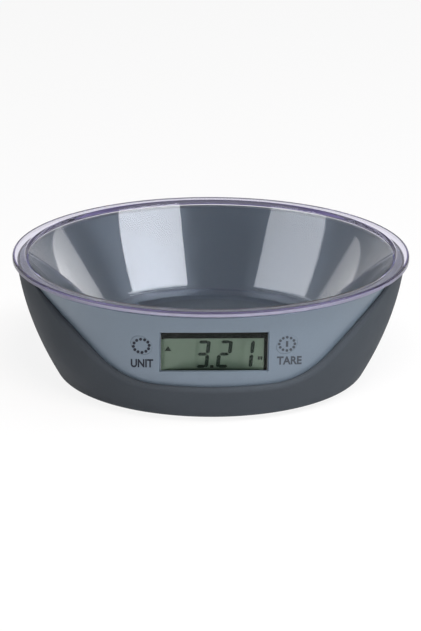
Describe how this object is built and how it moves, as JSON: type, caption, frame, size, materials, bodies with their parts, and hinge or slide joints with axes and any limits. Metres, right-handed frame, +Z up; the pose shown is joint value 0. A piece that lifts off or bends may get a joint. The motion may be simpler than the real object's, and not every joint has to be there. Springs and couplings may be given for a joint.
{
  "type": "kitchen scale with bowl",
  "caption": "Round electronic kitchen scale: a clear bowl nests in a dark body with a silver front panel, LCD readout, two push keys, load-cell platform and battery door.",
  "frame": {"origin": "on the table under the feet, on the bowl's axis", "axes": "+Z up along the bowl's axis; the display faces -Y; +X to the right seen from the display's side"},
  "size_m": [0.24, 0.24, 0.076],
  "materials": {
    "clear_plastic": "clear, glossy",
    "dark_plastic": "satin, fine grain",
    "silver_plastic": "metallic paint, satin",
    "lens_plastic": "clear, glossy",
    "foam": "black foam",
    "lcd_glass": "grey-green liquid crystal",
    "white_plastic": "matte",
    "grey_rubber": "matte",
    "circuit_board": "green solder mask",
    "black_resin": "matte",
    "screw_steel": "zinc plated",
    "lead_jacket": "matte",
    "beam_aluminium": "machined",
    "white_sealant": "matte",
    "battery_case": "gloss jacket",
    "contact_steel": "nickel plated"
  },
  "bodies": {
    "base": {"lower_shell": "dark_plastic", "upper_housing": "silver_plastic", "display_window": "lens_plastic", "lcd_gasket": "foam", "lcd_panel": "lcd_glass", "lcd_holder": "white_plastic", "connector_strip": "grey_rubber", "main_board": "circuit_board", "controller_chip": "black_resin", "board_screws": "screw_steel", "key_boards": "circuit_board", "switch_bodies": "black_resin", "key_board_screws": "screw_steel", "key_leads": "lead_jacket", "load_cell": "beam_aluminium", "strain_gauges": "white_sealant", "fixed_spacer": "beam_aluminium", "load_cell_screws": "screw_steel", "overload_screw": "screw_steel", "load_cell_cable": "lead_jacket", "batteries": "battery_case", "battery_springs": "contact_steel", "battery_contacts": "contact_steel", "battery_leads": "lead_jacket", "rubber_feet": "grey_rubber", "case_screws": "screw_steel"},
    "platform": {"platform": "silver_plastic", "platform_pad": "grey_rubber", "platform_screws": "screw_steel", "free_spacer": "beam_aluminium"},
    "bowl": {"bowl": "clear_plastic"},
    "unit_key": {"unit_key": "silver_plastic", "unit_plunger": "black_resin"},
    "tare_key": {"tare_key": "silver_plastic", "tare_plunger": "black_resin"},
    "battery_door": {"battery_door": "dark_plastic"}
  },
  "joints": [
    {"name": "platform_sink", "type": "slide", "parent": "base", "child": "platform", "axis": [0, 0, -1], "range_m": [0, 0.0005], "stiffness_N_per_m": 20000, "springref_m": -0.0003, "deforming": ["load_cell", "strain_gauges"]},
    {"name": "bowl_lift", "type": "slide", "parent": "platform", "child": "bowl", "axis": [0, 0, 1], "range_m": [0, 0.08]},
    {"name": "unit_press", "type": "slide", "parent": "base", "child": "unit_key", "axis": [0.3679, 0.871, 0.3256], "range_m": [0, 0.0004], "stiffness_N_per_m": 3500, "springref_m": -0.0001},
    {"name": "tare_press", "type": "slide", "parent": "base", "child": "tare_key", "axis": [-0.3679, 0.871, 0.3256], "range_m": [0, 0.0004], "stiffness_N_per_m": 3500, "springref_m": -0.0001},
    {"name": "battery_door_swing", "type": "hinge", "parent": "base", "child": "battery_door", "pos_m": [0, 0.0275, 0.002], "axis": [-1, 0, 0], "range_deg": [0, 70]}
  ]
}
